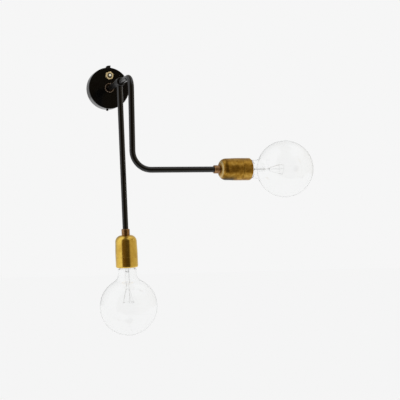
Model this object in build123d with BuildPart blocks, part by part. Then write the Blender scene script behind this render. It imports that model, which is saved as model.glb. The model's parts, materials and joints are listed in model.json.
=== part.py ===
"""Two-arm wall lamp: a round wall plate with a push switch, a straight arm and an L-shaped arm.

Millimetres. The wall is the plane Y = 0 and the lamp stands out from it along -Y, with +Z up.
The origin is the middle of the wall face. Both arms turn about the Y axis.
"""

from math import asin, cos, degrees, radians, sin, sqrt
import os

from build123d import *

os.makedirs("parts", exist_ok=True)

# Wall plate
PLATE_DIAMETER = 75.0
PLATE_DEPTH = 20.0
PLATE_WALL = 1.5
PLATE_EDGE_RADIUS = 1.2
BRACKET_THICKNESS = 2.0
BRACKET_GAP = 0.5
EAR_WIDTH = 12.0
EAR_THICKNESS = 2.0
EAR_HEIGHT = 12.0
WALL_HOLE_SPACING = 52.0
WALL_HOLE_RADIUS = 2.25

# Screws through the rim of the plate
SIDE_SCREW_RADIUS = 2.0
SIDE_SCREW_SETBACK = 8.5
SIDE_SCREW_HEAD_RADIUS = 4.5
SIDE_SCREW_HEAD_HEIGHT = 5.0
SIDE_SCREW_HEAD_SHOULDER = 3.8
SIDE_SCREW_HEAD_LOW = 1.2
SIDE_SCREW_HEAD_CUT = 1.9
SIDE_SCREW_TIP = 1.0
LOCKING_SCREW_SETBACK = 14.0
LOCKING_SCREW_PROUD = 2.3
LOCKING_SCREW_CHAMFER = 0.3
SLOT_WIDTH = 0.9
SLOT_DEPTH = 1.0
NUT_BEVEL_SHARE = 0.5

# Supply inlet in the bracket
INLET_BLOCK_GAP = 0.9
INLET_SHARE = 0.48
INLET_BORE_RADIUS = 3.8
GROMMET_WALL = 1.3
GROMMET_FLANGE = 1.5
GROMMET_LIP = 1.4

# Pivot bush and the stop that limits the turn of the stem
BUSH_RADIUS = 8.3
BUSH_PROUD = 4.5
BUSH_NECK_RADIUS = 6.5
BUSH_NECK_LENGTH = 7.2
BUSH_EDGE_RADIUS = 0.6
BUSH_NUT_FLATS = 17.0
BUSH_NUT_HEIGHT = 3.0
STEM_REAR = 7.0
RETAINER_RADIUS = 8.0
RETAINER_LENGTH = 4.5
RETAINER_PLAY = 0.3
LUG_RADIUS = 11.5
LUG_WIDTH = 3.0
STOP_PIN_RADIUS = 1.5
STOP_PIN_CIRCLE = 10.0
STOP_PIN_TOP = 12.3

# Push switch
SWITCH_BODY_RADIUS = 7.0
SWITCH_SCREW_GAP = 2.5
SWITCH_BODY_DEPTH = 11.1
SWITCH_NECK_RADIUS = 4.2
SWITCH_NECK_PROUD = 5.0
SWITCH_NUT_FLATS = 13.0
SWITCH_NUT_HEIGHT = 4.2
SWITCH_NUT_TURN = 20.0
BUTTON_RADIUS = 2.2
BUTTON_PROUD = 3.2
BUTTON_FLANGE_RADIUS = 3.0
BUTTON_FLANGE_HEIGHT = 1.5
SWITCH_CAVITY_RADIUS = 3.3
SWITCH_FRONT_WALL = 1.0
SWITCH_REAR_WALL = 1.6
SPRING_RADIUS = 2.4
SPRING_WIRE_RADIUS = 0.3
SPRING_TURNS = 4
SWITCH_TERMINAL_SPREAD = 4.5
SWITCH_TERMINAL_RADIUS = 1.2
SWITCH_TERMINAL_HEAD_RADIUS = 2.2
SWITCH_TERMINAL_HEAD = 1.8
SWITCH_TERMINAL_LENGTH = 1.2

# Terminal block, earth screw and wires in the plate
BLOCK_WIDTH = 23.0
BLOCK_LENGTH = 12.0
BLOCK_HEIGHT = 10.0
BLOCK_ENTRY_DEPTH = 3.2
BLOCK_SCREW_RADIUS = 1.3
BLOCK_SCREW_INSET = 3.5
BLOCK_SCREW_LENGTH = 3.6
BLOCK_SCREW_SINK = 1.0
BLOCK_FIXING_RADIUS = 1.5
BLOCK_FIXING_HEAD_RADIUS = 2.6
BLOCK_FIXING_INSET = 8.5
BLOCK_FIXING_HEAD = 2.0
BLOCK_FIXING_GRIP = 6.0
EARTH_X = 19.0
EARTH_SHARE = 0.42
EARTH_SCREW_RADIUS = 2.0
EARTH_HEAD_RADIUS = 3.6
EARTH_HEAD_HEIGHT = 2.6
WIRE_LEVEL = 4.4
WIRE_RADIUS = 1.0
WIRE_BEND = 4.0
WIRE_PIN_GAP = 0.5
OUTER_WIRE_RISE = 2.7
FLEX_RADIUS = 1.7
FLEX_OFFSET = 2.0
FLEX_SPLICE = 14.0
FLEX_BEND = 2.5
SUPPLY_SPREAD = 8.5
SWITCH_WIRE_INNER = 4.5

# Tubes and hub
TUBE_RADIUS = 5.0
TUBE_WALL = 1.0
ARM_A_STANDOFF = 74.0
ARM_A_LENGTH = 255.0
ARM_A_LEAN = 2.5
ARM_B_STANDOFF = 148.0
ARM_B_DROP = 155.5
ARM_B_REACH = 143.5
ARM_B_LEAN = 1.3
ARM_B_TOP_BEND = 20.0
ARM_B_LOW_BEND = 32.0
ARM_B_TURN = 150.0
HUB_RADIUS = 7.5
HUB_LENGTH = 20.0
HUB_EDGE_RADIUS = 1.5
HUB_CHAMBER = 7.0
HUB_SPIGOT_LENGTH = 8.5
HUB_SPIGOT_BORE = 3.0
HUB_SCREW_RADIUS = 1.5
HUB_SCREW_INSET = 3.25
HUB_SCREW_SINK = 0.2
HUB_GROOVE_DEPTH = 0.6
HUB_GROOVE_SPARE = 2.0
HUB_FLEX_BEND = 3.2

# Lamp holders, measured along their axis from the shoulder of the tube
COLLAR_RADIUS = 7.15
COLLAR_LENGTH = 10.5
COLLAR_EDGE = 0.6
LOCK_NUT_FLATS = 12.4
LOCK_NUT_HEIGHT = 4.0
TUBE_END_SPARE = 0.8
FLEX_PROUD = 1.0
HOLDER_RADIUS = 19.3
HOLDER_LENGTH = 56.4
HOLDER_WALL = 1.0
DOME_RADIUS = 18.7
DOME_CORNER = 11.5
DOME_FLARE = 20.0
SKIRT_LENGTH = 18.0
SEAM_WIDTH = 0.5
SKIRT_THREAD_LENGTH = 6.0
LIP_RADIUS = 16.4
LIP_LENGTH = 2.8
LIP_ROUND = 2.4
CORE_RADIUS = 17.1
CORE_FLANGE_RADIUS = 18.05
CORE_FLANGE_HEIGHT = 3.0
CORE_BACK_RADIUS = 15.5
CORE_BACK_HEIGHT = 9.4
CORE_RECESS = 4.4
CORE_FLOOR = 10.0
HOLDER_TERMINAL_SPREAD = 9.0
HOLDER_TERMINAL_RADIUS = 1.5
HOLDER_TERMINAL_LENGTH = 5.5
HOLDER_TERMINAL_HEAD_RADIUS = 2.6
HOLDER_TERMINAL_HEAD = 2.0
LEAD_RADIUS = 0.75
LEAD_OFFSET = 0.85
LEAD_BEND = 1.5
SHELL_RADIUS = 14.5
SHELL_LIFT = 1.5
SHELL_RECESS = 1.0
CONTACT_RADIUS = 3.2
CONTACT_HEIGHT = 2.0
CONTACT_STEM_RADIUS = 1.5
CONTACT_STEM_LENGTH = 6.5

# Lamp thread
THREAD_PITCH = 3.629
THREAD_TURNS = 4
THREAD_ROOT_RADIUS = 12.0
THREAD_CREST_RADIUS = 13.05
THREAD_PLAY = 0.35
THREAD_BASE_WIDTH = 2.0
THREAD_CREST_WIDTH = 0.8
THREAD_LEAD_IN = 2.0
THREAD_OFFSET_TURNS = 1.5
THREAD_SINK = 0.2

# Bulbs, measured from the mouth of the holder
GLOBE_RADIUS = 50.0
GLOBE_CENTRE = 67.8
GLASS_WALL = 0.8
NECK_RADIUS = 16.0
NECK_START = 3.0
NECK_BLEND = 15.0
NECK_FOOT = 9.0
BULB_CAP_WALL = 0.5
BULB_CAP_TOP = 0.5
BULB_CAP_LENGTH = 18.0
BULB_RIM_RADIUS = 13.2
BULB_RIM_LENGTH = 1.5
INSULATOR_RADIUS = 11.9
INSULATOR_TIP_RADIUS = 5.0
INSULATOR_HEIGHT = 4.2
END_CONTACT_RADIUS = 4.6
END_CONTACT_HEIGHT = 1.3
STEM_FLARE_RADIUS = 10.4
STEM_FOOT = 8.0
STEM_RADIUS = 3.4
STEM_WALL = 0.9
STEM_TAPER_END = 6.0
STEM_TOP = 27.0
STEM_ROD_RADIUS = 1.4
STEM_ROD_LENGTH = 9.0
STEM_BUTTON_RADIUS = 2.4
STEM_BUTTON_HEIGHT = 2.4
STEM_BUTTON_BEVEL = 0.8
LEAD_WIRE_RADIUS = 0.35
LEAD_WIRE_START = 2.4
LEAD_WIRE_RISE = 3.0
LEAD_WIRE_BEND = 6.0
SUPPORT_WIRE_RADIUS = 0.22
SUPPORT_ANGLES = (90, 180, 270)
FILAMENT_HEIGHT = 61.0
FILAMENT_RING = 9.5
FILAMENT_RADIUS = 0.3
FILAMENT_OPENING = 70.0
FILAMENT_TURNS = {"a": 40.0, "b": 270.0}

# Clearances
RUNNING_GAP = 0.05
THREAD_GAP = 0.05
HOLE_GAP = 0.1
TIP_GAP = 0.1
END_GAP = 0.3

# Sizes that follow from the ones above
plate_radius = PLATE_DIAMETER / 2
plate_inside = PLATE_DEPTH - PLATE_WALL
bracket_radius = plate_radius - PLATE_WALL - BRACKET_GAP
ear_face = sqrt(bracket_radius**2 - (EAR_WIDTH / 2) ** 2)
side_screw_level = PLATE_DEPTH - SIDE_SCREW_SETBACK
locking_screw_level = PLATE_DEPTH - LOCKING_SCREW_SETBACK
ear_inside = ear_face - EAR_THICKNESS
side_screw_foot = ear_inside - SIDE_SCREW_TIP
switch_rise = side_screw_foot - SWITCH_BODY_RADIUS - SWITCH_SCREW_GAP
block_middle = -(LUG_RADIUS + ear_inside) / 2
block_edge = block_middle + BLOCK_LENGTH / 2
grommet_reach = INLET_BORE_RADIUS + GROMMET_WALL + GROMMET_FLANGE
inlet_place = (-BLOCK_WIDTH / 2 - INLET_BLOCK_GAP - grommet_reach, -INLET_SHARE * bracket_radius)
earth_place = (EARTH_X, -EARTH_SHARE * bracket_radius)
tube_bore = TUBE_RADIUS - TUBE_WALL
bush_rear = PLATE_DEPTH - BUSH_NECK_LENGTH
retainer_front = bush_rear - RETAINER_PLAY
retainer_rear = retainer_front - RETAINER_LENGTH
switch_rear = plate_inside - SWITCH_BODY_DEPTH
cavity_front = plate_inside - SWITCH_FRONT_WALL
cavity_rear = switch_rear + SWITCH_REAR_WALL
flange_front = cavity_front - TIP_GAP
flange_rear = flange_front - BUTTON_FLANGE_HEIGHT
neck_end = PLATE_DEPTH + SWITCH_NECK_PROUD
block_top = BRACKET_THICKNESS + BLOCK_HEIGHT
arm_a_level = PLATE_DEPTH + ARM_A_STANDOFF
arm_b_level = PLATE_DEPTH + ARM_B_STANDOFF
hub_rear = arm_a_level - HUB_LENGTH / 2
hub_front = arm_a_level + HUB_LENGTH / 2
stem_front = arm_a_level - HUB_CHAMBER / 2
arm_b_rear = arm_a_level + HUB_CHAMBER / 2
stem_screw_level = hub_rear + HUB_SCREW_INSET
groove_level = hub_front - HUB_SCREW_INSET
groove_floor = TUBE_RADIUS - HUB_GROOVE_DEPTH
cap_top = COLLAR_LENGTH
mouth = COLLAR_LENGTH + HOLDER_LENGTH
seam = mouth - SKIRT_LENGTH
lock_nut_top = cap_top + HOLDER_WALL
tube_end = lock_nut_top + LOCK_NUT_HEIGHT + TUBE_END_SPARE
flex_end = tube_end + FLEX_PROUD
skirt_top = seam - SKIRT_THREAD_LENGTH
skirt_inner = HOLDER_RADIUS - HOLDER_WALL
spigot_outer = skirt_inner - THREAD_GAP
spigot_inner = spigot_outer - HOLDER_WALL
core_flange_top = skirt_top - CORE_FLANGE_HEIGHT
core_top = core_flange_top - CORE_BACK_HEIGHT
core_floor = core_top + CORE_FLOOR
core_front = mouth - CORE_RECESS
shell_start = core_floor + SHELL_LIFT
shell_end = core_front - SHELL_RECESS
shell_thread_root = THREAD_CREST_RADIUS + THREAD_PLAY
shell_thread_crest = THREAD_ROOT_RADIUS + THREAD_PLAY
shell_thread_start = shell_start + THREAD_LEAD_IN
bulb_thread_start = shell_thread_start + THREAD_OFFSET_TURNS * THREAD_PITCH
bulb_cap_end = mouth - BULB_CAP_TOP
bulb_cap_start = bulb_cap_end - BULB_CAP_LENGTH
insulator_start = bulb_cap_start - INSULATOR_HEIGHT
end_contact_start = insulator_start - END_CONTACT_HEIGHT

# Frames: local x is right, y is up and z is out from the wall
WALL = Plane(origin=(0, 0, 0), x_dir=(1, 0, 0), z_dir=(0, -1, 0))
PIVOT = Axis((0, 0, 0), (0, -1, 0))


def leaning(angle):
    """The wall's frame turned about the pivot, so that what hangs down swings to the right."""
    x_dir = (cos(radians(angle)), 0, sin(radians(angle)))
    return Plane(origin=(0, 0, 0), x_dir=x_dir, z_dir=(0, -1, 0))


ARM_A = leaning(ARM_A_LEAN)
ARM_B = leaning(ARM_B_LEAN)


def lamp_frame(arm, shoulder, direction):
    """A holder's frame: origin on the tube's shoulder, z along the holder, x out from the wall."""
    return Plane(origin=arm.from_local_coords(shoulder), x_dir=arm.z_dir, z_dir=direction)


LAMPS = {
    "a": lamp_frame(ARM_A, (0, -ARM_A_LENGTH, arm_a_level), -ARM_A.y_dir),
    "b": lamp_frame(ARM_B, (ARM_B_REACH, -ARM_B_DROP, arm_b_level), ARM_B.x_dir),
}


def spun(frame, angle):
    """A frame turned about its own z axis."""
    x_dir = frame.x_dir * cos(radians(angle)) + frame.y_dir * sin(radians(angle))
    return Plane(origin=frame.origin, x_dir=x_dir, z_dir=frame.z_dir)


def side_plane(frame):
    """The plane through a frame's own x and z axes, with z as its height."""
    return Plane(origin=frame.origin, x_dir=frame.x_dir, z_dir=-frame.y_dir)


def up_plane(frame, x, level, height):
    """A plane that faces along a frame's y axis at one place."""
    origin = frame.from_local_coords((x, height, level))
    return Plane(origin=origin, x_dir=frame.x_dir, z_dir=frame.y_dir)


def down_plane(frame, x, level, height):
    """A plane that faces against a frame's y axis at one place."""
    origin = frame.from_local_coords((x, height, level))
    return Plane(origin=origin, x_dir=frame.x_dir, z_dir=-frame.y_dir)


def save(part, name):
    part.label = name
    export_step(part, f"parts/{name}.step")


def disc(plane, radius, height, bore=0.0, at=(0, 0)):
    """A round piece, or a ring where it has a bore."""
    with BuildPart() as piece:
        with BuildSketch(plane):
            with Locations(at):
                Circle(radius)
                if bore:
                    Circle(bore, mode=Mode.SUBTRACT)
        extrude(amount=height)
    return piece.part


def hex_nut(plane, flats, height, bore, turn=0.0):
    with BuildPart() as nut:
        with BuildSketch(plane):
            RegularPolygon(flats / 2, 6, major_radius=False, rotation=turn)
        extrude(amount=height)
        with BuildSketch(side_plane(plane)):
            corner = flats / 2 / cos(radians(30))
            bevel = NUT_BEVEL_SHARE * (corner - flats / 2)
            with BuildLine():
                Polyline(
                    (0, 0),
                    (corner, 0),
                    (corner, height - bevel),
                    (corner - bevel, height),
                    (0, height),
                    close=True,
                )
            make_face()
        revolve(axis=Axis(plane.origin, plane.z_dir), mode=Mode.INTERSECT)
        with BuildSketch(plane):
            Circle(bore)
        extrude(amount=height, mode=Mode.SUBTRACT)
    return nut.part


def turned(frame, outline):
    """A piece turned on a frame's z axis from an outline of radius and height."""
    with BuildPart() as piece:
        with BuildSketch(side_plane(frame)):
            with BuildLine():
                Polyline(*outline, close=True)
            make_face()
        revolve(axis=Axis(frame.origin, frame.z_dir))
    return piece.part


def tube(frame, points, bends, radius, bore=0.0):
    """A round bar or tube along straight runs joined by tangent arcs."""
    with BuildPart() as piece:
        with BuildLine(frame) as route:
            if bends:
                FilletPolyline(*points, radius=bends)
            else:
                Line(*points)
        with BuildSketch(Plane(origin=route.line @ 0, z_dir=route.line % 0)):
            Circle(radius)
            if bore:
                Circle(bore, mode=Mode.SUBTRACT)
        sweep(path=route.line)
    return piece.part


def group(pieces):
    return Compound(children=pieces)


def slotted(part, plane, reach):
    """Cuts a screwdriver slot into the end of a screw that a plane lies on."""
    with BuildPart() as screw:
        add(part)
        with BuildSketch(plane):
            Rectangle(2 * reach, SLOT_WIDTH)
        extrude(amount=-SLOT_DEPTH, mode=Mode.SUBTRACT)
    return screw.part


# The two screws through the rim start from the middle of the plate
rim_screws = [up_plane(WALL, 0, side_screw_level, 0), down_plane(WALL, 0, locking_screw_level, 0)]

# Wall plate: the cover that shows
with BuildPart() as canopy_cover:
    with BuildSketch(WALL):
        Circle(plate_radius)
    extrude(amount=PLATE_DEPTH)
    fillet(canopy_cover.faces().sort_by(Axis.Y)[0].edges(), PLATE_EDGE_RADIUS)
    with BuildSketch(WALL):
        Circle(plate_radius - PLATE_WALL)
    extrude(amount=plate_inside, mode=Mode.SUBTRACT)
    with BuildSketch(WALL):
        Circle(BUSH_NECK_RADIUS + HOLE_GAP)
        with Locations((0, switch_rise)):
            Circle(SWITCH_NECK_RADIUS + HOLE_GAP)
    extrude(amount=PLATE_DEPTH, mode=Mode.SUBTRACT)
    for rim_screw in rim_screws:
        with BuildSketch(rim_screw):
            Circle(SIDE_SCREW_RADIUS + HOLE_GAP)
        extrude(amount=plate_radius, mode=Mode.SUBTRACT)
save(canopy_cover.part, "canopy_cover")

# Wall bracket: a disc with an ear at the top and at the bottom
with BuildPart() as wall_bracket:
    with BuildSketch(WALL):
        Circle(bracket_radius)
    extrude(amount=BRACKET_THICKNESS)
    with BuildSketch(WALL.offset(BRACKET_THICKNESS)):
        for side in (1, -1):
            with Locations((0, side * (ear_face - EAR_THICKNESS / 2))):
                Rectangle(EAR_WIDTH, EAR_THICKNESS)
    extrude(amount=EAR_HEIGHT)
    with BuildSketch(WALL):
        with Locations((-WALL_HOLE_SPACING / 2, 0), (WALL_HOLE_SPACING / 2, 0)):
            Circle(WALL_HOLE_RADIUS)
        with Locations(inlet_place):
            Circle(INLET_BORE_RADIUS + GROMMET_WALL + HOLE_GAP)
        with Locations((0, STOP_PIN_CIRCLE)):
            Circle(STOP_PIN_RADIUS + RUNNING_GAP)
        with Locations((0, block_edge - BLOCK_FIXING_INSET)):
            Circle(BLOCK_FIXING_RADIUS + THREAD_GAP)
        with Locations(earth_place):
            Circle(EARTH_SCREW_RADIUS + THREAD_GAP)
    extrude(amount=BRACKET_THICKNESS, mode=Mode.SUBTRACT)
    for rim_screw in rim_screws:
        with BuildSketch(rim_screw):
            Circle(SIDE_SCREW_RADIUS + THREAD_GAP)
        extrude(amount=plate_radius, mode=Mode.SUBTRACT)
save(wall_bracket.part, "wall_bracket")

# Screw with a wedge-shaped thumb head through the top of the rim into the upper ear
with BuildPart() as side_screw:
    with BuildSketch(up_plane(WALL, 0, side_screw_level, plate_radius)):
        Circle(SIDE_SCREW_HEAD_RADIUS)
    extrude(amount=SIDE_SCREW_HEAD_HEIGHT)
    with BuildSketch(WALL.offset(side_screw_level)):
        with BuildLine():
            Polyline(
                (-SIDE_SCREW_HEAD_RADIUS, plate_radius),
                (-SIDE_SCREW_HEAD_RADIUS, plate_radius + SIDE_SCREW_HEAD_LOW),
                (SIDE_SCREW_HEAD_CUT - SIDE_SCREW_HEAD_RADIUS, plate_radius + SIDE_SCREW_HEAD_SHOULDER),
                (SIDE_SCREW_HEAD_RADIUS, plate_radius + SIDE_SCREW_HEAD_HEIGHT),
                (SIDE_SCREW_HEAD_RADIUS, plate_radius),
                close=True,
            )
        make_face()
    extrude(amount=SIDE_SCREW_HEAD_RADIUS, both=True, mode=Mode.INTERSECT)
    with BuildSketch(up_plane(WALL, 0, side_screw_level, side_screw_foot)):
        Circle(SIDE_SCREW_RADIUS)
    extrude(amount=plate_radius - side_screw_foot)
save(side_screw.part, "side_screw")

# Headless screw through the bottom of the rim into the lower ear
with BuildPart() as locking_screw:
    with BuildSketch(down_plane(WALL, 0, locking_screw_level, -side_screw_foot)):
        Circle(SIDE_SCREW_RADIUS)
    extrude(amount=plate_radius + LOCKING_SCREW_PROUD - side_screw_foot)
    chamfer(locking_screw.faces().sort_by(Axis.Z)[0].edges(), LOCKING_SCREW_CHAMFER)
    with BuildSketch(down_plane(WALL, 0, locking_screw_level, -plate_radius - LOCKING_SCREW_PROUD)):
        Rectangle(2 * SIDE_SCREW_RADIUS, SLOT_WIDTH)
    extrude(amount=-SLOT_DEPTH, mode=Mode.SUBTRACT)
save(locking_screw.part, "locking_screw")

# Rubber grommet where the supply lead comes in through the wall
with BuildPart() as inlet_grommet:
    with BuildSketch(WALL):
        with Locations(inlet_place):
            Circle(INLET_BORE_RADIUS + GROMMET_WALL)
    extrude(amount=BRACKET_THICKNESS)
    with BuildSketch(WALL.offset(BRACKET_THICKNESS)):
        with Locations(inlet_place):
            Circle(grommet_reach)
    extrude(amount=GROMMET_LIP)
    with BuildSketch(WALL):
        with Locations(inlet_place):
            Circle(INLET_BORE_RADIUS)
    extrude(amount=BRACKET_THICKNESS + GROMMET_LIP, mode=Mode.SUBTRACT)
save(inlet_grommet.part, "inlet_grommet")

# Pivot: flanged brass bush, its nut, and the pin that stops the turning lug
with BuildPart() as pivot_bush:
    with BuildSketch(WALL.offset(bush_rear)):
        Circle(BUSH_NECK_RADIUS)
    extrude(amount=BUSH_NECK_LENGTH)
    with BuildSketch(WALL.offset(PLATE_DEPTH)):
        Circle(BUSH_RADIUS)
    extrude(amount=BUSH_PROUD)
    fillet(pivot_bush.faces().sort_by(Axis.Y)[0].edges(), BUSH_EDGE_RADIUS)
    with BuildSketch(WALL.offset(bush_rear)):
        Circle(TUBE_RADIUS + RUNNING_GAP)
    extrude(amount=BUSH_NECK_LENGTH + BUSH_PROUD, mode=Mode.SUBTRACT)
save(pivot_bush.part, "pivot_bush")

bush_nut_plane = WALL.offset(plate_inside - BUSH_NUT_HEIGHT)
bush_nut = hex_nut(bush_nut_plane, BUSH_NUT_FLATS, BUSH_NUT_HEIGHT, BUSH_NECK_RADIUS + THREAD_GAP)
save(bush_nut, "bush_nut")
save(disc(WALL, STOP_PIN_RADIUS, STOP_PIN_TOP, at=(0, STOP_PIN_CIRCLE)), "stop_pin")

# Push switch: body with a hollow neck, nut, terminals, spring and button
with BuildPart() as switch_body:
    with BuildSketch(WALL.offset(switch_rear)):
        with Locations((0, switch_rise)):
            Circle(SWITCH_BODY_RADIUS)
    extrude(amount=SWITCH_BODY_DEPTH)
    with BuildSketch(WALL.offset(plate_inside)):
        with Locations((0, switch_rise)):
            Circle(SWITCH_NECK_RADIUS)
    extrude(amount=neck_end - plate_inside)
    with BuildSketch(WALL.offset(cavity_rear)):
        with Locations((0, switch_rise)):
            Circle(SWITCH_CAVITY_RADIUS)
    extrude(amount=cavity_front - cavity_rear, mode=Mode.SUBTRACT)
    with BuildSketch(WALL.offset(cavity_front)):
        with Locations((0, switch_rise)):
            Circle(BUTTON_RADIUS + HOLE_GAP)
    extrude(amount=neck_end - cavity_front, mode=Mode.SUBTRACT)
    with BuildSketch(WALL.offset(switch_rear)):
        with Locations((-SWITCH_TERMINAL_SPREAD, switch_rise), (SWITCH_TERMINAL_SPREAD, switch_rise)):
            Circle(SWITCH_TERMINAL_RADIUS + THREAD_GAP)
    extrude(amount=SWITCH_TERMINAL_LENGTH + TIP_GAP, mode=Mode.SUBTRACT)
save(switch_body.part, "switch_body")

switch_front = Plane(
    origin=WALL.from_local_coords((0, switch_rise, PLATE_DEPTH)), x_dir=WALL.x_dir, z_dir=WALL.z_dir
)
switch_nut = hex_nut(
    switch_front, SWITCH_NUT_FLATS, SWITCH_NUT_HEIGHT, SWITCH_NECK_RADIUS + THREAD_GAP, SWITCH_NUT_TURN
)
save(switch_nut, "switch_nut")

with BuildPart() as switch_terminals:
    with BuildSketch(WALL.offset(switch_rear - SWITCH_TERMINAL_HEAD)):
        with Locations((-SWITCH_TERMINAL_SPREAD, switch_rise), (SWITCH_TERMINAL_SPREAD, switch_rise)):
            Circle(SWITCH_TERMINAL_HEAD_RADIUS)
    extrude(amount=SWITCH_TERMINAL_HEAD)
    with BuildSketch(WALL.offset(switch_rear)):
        with Locations((-SWITCH_TERMINAL_SPREAD, switch_rise), (SWITCH_TERMINAL_SPREAD, switch_rise)):
            Circle(SWITCH_TERMINAL_RADIUS)
    extrude(amount=SWITCH_TERMINAL_LENGTH)
save(switch_terminals.part, "switch_terminals")

with BuildPart() as switch_button:
    with BuildSketch(WALL.offset(flange_rear)):
        with Locations((0, switch_rise)):
            Circle(BUTTON_FLANGE_RADIUS)
    extrude(amount=BUTTON_FLANGE_HEIGHT)
    with BuildSketch(WALL.offset(flange_front)):
        with Locations((0, switch_rise)):
            Circle(BUTTON_RADIUS)
    extrude(amount=neck_end + BUTTON_PROUD - flange_front)
    fillet(switch_button.faces().sort_by(Axis.Y)[0].edges(), BUTTON_RADIUS / 2)
save(switch_button.part, "switch_button")

spring_length = flange_rear - cavity_rear - 2 * SPRING_WIRE_RADIUS - 2 * TIP_GAP
with BuildPart() as switch_spring:
    with BuildLine() as coil:
        Helix(
            spring_length / SPRING_TURNS,
            spring_length,
            SPRING_RADIUS,
            center=WALL.from_local_coords((0, switch_rise, cavity_rear + SPRING_WIRE_RADIUS + TIP_GAP)),
            direction=WALL.z_dir,
        )
    with BuildSketch(Plane(origin=coil.line @ 0, z_dir=coil.line % 0)):
        Circle(SPRING_WIRE_RADIUS)
    sweep(path=coil.line, is_frenet=True)
save(switch_spring.part, "switch_spring")

# Terminal block on the bracket, with an entry for each flex and wire
entries = {
    -SUPPLY_SPREAD: FLEX_RADIUS,
    0: FLEX_RADIUS,
    SWITCH_WIRE_INNER: WIRE_RADIUS,
    SUPPLY_SPREAD: WIRE_RADIUS,
}
block_screw_row = [(x, block_edge - BLOCK_SCREW_INSET) for x in entries]
fixing_place = (0, block_edge - BLOCK_FIXING_INSET)
fixing_seat = BRACKET_THICKNESS + BLOCK_FIXING_GRIP
block_screw_foot = block_top - BLOCK_SCREW_SINK - BLOCK_SCREW_LENGTH
with BuildPart() as terminal_block:
    with BuildSketch(WALL.offset(BRACKET_THICKNESS)):
        with Locations((0, block_middle)):
            Rectangle(BLOCK_WIDTH, BLOCK_LENGTH)
    extrude(amount=BLOCK_HEIGHT)
    for x, radius in entries.items():
        with BuildSketch(down_plane(WALL, x, WIRE_LEVEL, block_edge)):
            Circle(radius + HOLE_GAP)
        extrude(amount=BLOCK_ENTRY_DEPTH, mode=Mode.SUBTRACT)
    with BuildSketch(WALL.offset(block_screw_foot - TIP_GAP)):
        with Locations(*block_screw_row):
            Circle(BLOCK_SCREW_RADIUS + THREAD_GAP)
    extrude(amount=BLOCK_HEIGHT, mode=Mode.SUBTRACT)
    with BuildSketch(WALL):
        with Locations(fixing_place):
            Circle(BLOCK_FIXING_RADIUS + HOLE_GAP)
    extrude(amount=block_top, mode=Mode.SUBTRACT)
    with BuildSketch(WALL.offset(fixing_seat)):
        with Locations(fixing_place):
            Circle(BLOCK_FIXING_HEAD_RADIUS + HOLE_GAP)
    extrude(amount=BLOCK_HEIGHT, mode=Mode.SUBTRACT)
save(terminal_block.part, "terminal_block")

with BuildPart() as terminal_screws:
    with BuildSketch(WALL.offset(block_screw_foot)):
        with Locations(*block_screw_row):
            Circle(BLOCK_SCREW_RADIUS)
    extrude(amount=BLOCK_SCREW_LENGTH)
save(terminal_screws.part, "terminal_screws")

with BuildPart() as block_screw:
    with BuildSketch(WALL):
        with Locations(fixing_place):
            Circle(BLOCK_FIXING_RADIUS)
    extrude(amount=fixing_seat)
    with BuildSketch(WALL.offset(fixing_seat)):
        with Locations(fixing_place):
            Circle(BLOCK_FIXING_HEAD_RADIUS)
    extrude(amount=BLOCK_FIXING_HEAD)
save(block_screw.part, "block_screw")

with BuildPart() as earth_screw:
    with BuildSketch(WALL):
        with Locations(earth_place):
            Circle(EARTH_SCREW_RADIUS)
    extrude(amount=BRACKET_THICKNESS)
    with BuildSketch(WALL.offset(BRACKET_THICKNESS)):
        with Locations(earth_place):
            Circle(EARTH_HEAD_RADIUS)
    extrude(amount=EARTH_HEAD_HEIGHT)
    with BuildSketch(WALL.offset(BRACKET_THICKNESS + EARTH_HEAD_HEIGHT)):
        with Locations(earth_place):
            Rectangle(2 * EARTH_HEAD_RADIUS, SLOT_WIDTH)
    extrude(amount=-SLOT_DEPTH, mode=Mode.SUBTRACT)
save(earth_screw.part, "earth_screw")

# Flexes from the block to the stem, and wires from the block to the switch
entry_end = block_edge - BLOCK_ENTRY_DEPTH + HOLE_GAP
flex_a_in_plate = tube(
    WALL,
    [
        (0, -FLEX_OFFSET, FLEX_SPLICE - TIP_GAP),
        (0, -FLEX_OFFSET, WIRE_LEVEL),
        (0, entry_end, WIRE_LEVEL),
    ],
    [FLEX_BEND],
    FLEX_RADIUS,
)
flex_b_in_plate = tube(
    WALL,
    [
        (0, FLEX_OFFSET, FLEX_SPLICE - TIP_GAP),
        (0, FLEX_OFFSET, WIRE_LEVEL),
        (-SUPPLY_SPREAD, FLEX_OFFSET, WIRE_LEVEL),
        (-SUPPLY_SPREAD, entry_end, WIRE_LEVEL),
    ],
    [FLEX_BEND, WIRE_BEND],
    FLEX_RADIUS,
)
save(group([flex_a_in_plate, flex_b_in_plate]), "canopy_flexes")

wire_over_pin = STOP_PIN_CIRCLE + STOP_PIN_RADIUS + WIRE_RADIUS + WIRE_PIN_GAP
wire_turn = switch_rise - SWITCH_TERMINAL_SPREAD
inner_wire = tube(
    WALL,
    [
        (SWITCH_WIRE_INNER, entry_end, WIRE_LEVEL),
        (SWITCH_WIRE_INNER, wire_over_pin, WIRE_LEVEL),
        (-SWITCH_TERMINAL_SPREAD, wire_turn, WIRE_LEVEL),
        (-SWITCH_TERMINAL_SPREAD, switch_rise, WIRE_LEVEL),
    ],
    [WIRE_BEND, WIRE_BEND],
    WIRE_RADIUS,
)
outer_wire = tube(
    WALL,
    [
        (SUPPLY_SPREAD, entry_end, WIRE_LEVEL),
        (SUPPLY_SPREAD, wire_turn - OUTER_WIRE_RISE, WIRE_LEVEL),
        (SWITCH_TERMINAL_SPREAD, wire_turn, WIRE_LEVEL),
        (SWITCH_TERMINAL_SPREAD, switch_rise, WIRE_LEVEL),
    ],
    [WIRE_BEND, WIRE_BEND],
    WIRE_RADIUS,
)
save(group([inner_wire, outer_wire]), "switch_wires")

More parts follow.
